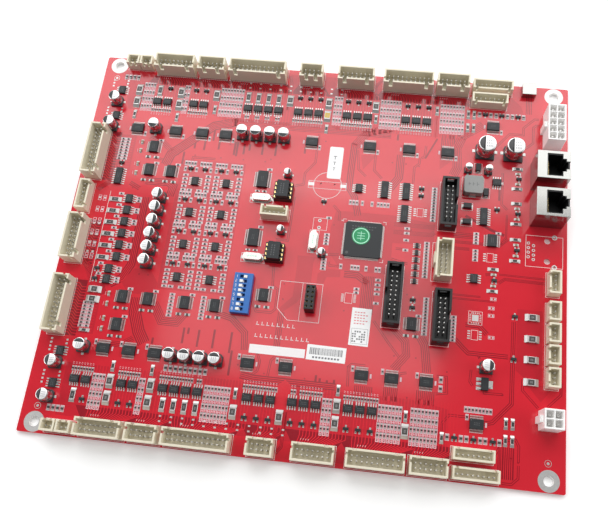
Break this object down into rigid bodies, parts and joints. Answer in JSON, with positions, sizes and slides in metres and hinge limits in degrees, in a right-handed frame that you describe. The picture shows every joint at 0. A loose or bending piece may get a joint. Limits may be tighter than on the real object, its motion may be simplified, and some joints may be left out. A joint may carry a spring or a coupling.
{
  "type": "motor and sensor connection board",
  "caption": "Large red circuit board ringed with shrouded wire connectors, with network jacks, power headers, a controller and an eight-way slide switch.",
  "frame": {"origin": "centre of the four-hole mounting pattern, on the underside of the board", "axes": "+Z out of the component side; +X along the long side towards the network jacks; +Y towards the edge with the USB receptacle"},
  "size_m": [0.272, 0.2224, 0.0181],
  "materials": {
    "solder_mask": "glossy red lacquer over copper",
    "cream_nylon": "satin moulded nylon",
    "tinned_pins": "bright tin",
    "black_nylon": "satin moulded nylon",
    "white_nylon": "translucent moulded nylon",
    "gold_contacts": "gold plated",
    "nickel_shield": "nickel plated sheet",
    "switch_blue": "moulded plastic",
    "slider_white": "moulded plastic",
    "chip_epoxy": "fine textured epoxy",
    "crystal_metal": "drawn can",
    "tinned_leads": "tinned",
    "green_paper": "printed sticker",
    "inductor_ferrite": "moulded ferrite",
    "cap_base_plastic": "moulded base",
    "cap_can": "drawn can with a printed band",
    "chip_ceramic": "glazed top",
    "chip_terminals": "tinned and soldered",
    "white_paper": "adhesive label"
  },
  "bodies": {
    "board": {"pcb": "solder_mask", "far_edge_housings": "cream_nylon", "near_edge_housings": "cream_nylon", "left_edge_housings": "cream_nylon", "two_row_pins": "tinned_pins", "one_row_housings": "cream_nylon", "one_row_pins": "tinned_pins", "service_header_housing": "cream_nylon", "service_header_pins": "tinned_pins", "box_header_housings": "black_nylon", "box_header_pins": "gold_contacts", "expansion_socket_body": "black_nylon", "expansion_socket_contacts": "gold_contacts", "motor_power_header": "white_nylon", "supply_power_header": "white_nylon", "power_header_pins": "tinned_pins", "jack_shields": "nickel_shield", "jack_inserts": "black_nylon", "jack_contacts": "gold_contacts", "usb_shell": "nickel_shield", "usb_insert": "black_nylon", "switch_body": "switch_blue", "ic_sockets": "black_nylon", "ic_socket_contacts": "gold_contacts", "socketed_ics": "chip_epoxy", "crystal_flanges": "crystal_metal", "crystal_cans": "crystal_metal", "controller_body": "chip_epoxy", "controller_leads": "tinned_leads", "controller_sticker": "green_paper", "driver_bodies": "chip_epoxy", "driver_leads": "tinned_leads", "logic_bodies": "chip_epoxy", "logic_leads": "tinned_leads", "buffer_bodies": "chip_epoxy", "small_transistor_bodies": "chip_epoxy", "regulator_body": "chip_epoxy", "regulator_leads": "tinned_leads", "inductor_core": "inductor_ferrite", "inductor_terminals": "tinned_leads", "diode_bodies": "chip_epoxy", "diode_terminals": "tinned_leads", "large_cap_bases": "cap_base_plastic", "large_cap_cans": "cap_can", "medium_cap_bases": "cap_base_plastic", "medium_cap_cans": "cap_can", "small_cap_bases": "cap_base_plastic", "small_cap_cans": "cap_can", "chip_part_bodies": "chip_ceramic", "chip_part_terminals": "chip_terminals", "labels": "white_paper"},
    "slider_1": {"switch_slider_1": "slider_white"},
    "slider_2": {"switch_slider_2": "slider_white"},
    "slider_3": {"switch_slider_3": "slider_white"},
    "slider_4": {"switch_slider_4": "slider_white"},
    "slider_5": {"switch_slider_5": "slider_white"},
    "slider_6": {"switch_slider_6": "slider_white"},
    "slider_7": {"switch_slider_7": "slider_white"},
    "slider_8": {"switch_slider_8": "slider_white"}
  },
  "joints": [
    {"name": "slider_1_slide", "type": "slide", "parent": "board", "child": "slider_1", "axis": [1, 0, 0], "range_m": [-0.002, 0]},
    {"name": "slider_2_slide", "type": "slide", "parent": "board", "child": "slider_2", "axis": [1, 0, 0], "range_m": [0, 0.002]},
    {"name": "slider_3_slide", "type": "slide", "parent": "board", "child": "slider_3", "axis": [1, 0, 0], "range_m": [0, 0.002]},
    {"name": "slider_4_slide", "type": "slide", "parent": "board", "child": "slider_4", "axis": [1, 0, 0], "range_m": [0, 0.002]},
    {"name": "slider_5_slide", "type": "slide", "parent": "board", "child": "slider_5", "axis": [1, 0, 0], "range_m": [0, 0.002]},
    {"name": "slider_6_slide", "type": "slide", "parent": "board", "child": "slider_6", "axis": [1, 0, 0], "range_m": [-0.002, 0]},
    {"name": "slider_7_slide", "type": "slide", "parent": "board", "child": "slider_7", "axis": [1, 0, 0], "range_m": [0, 0.002]},
    {"name": "slider_8_slide", "type": "slide", "parent": "board", "child": "slider_8", "axis": [1, 0, 0], "range_m": [0, 0.002]}
  ]
}
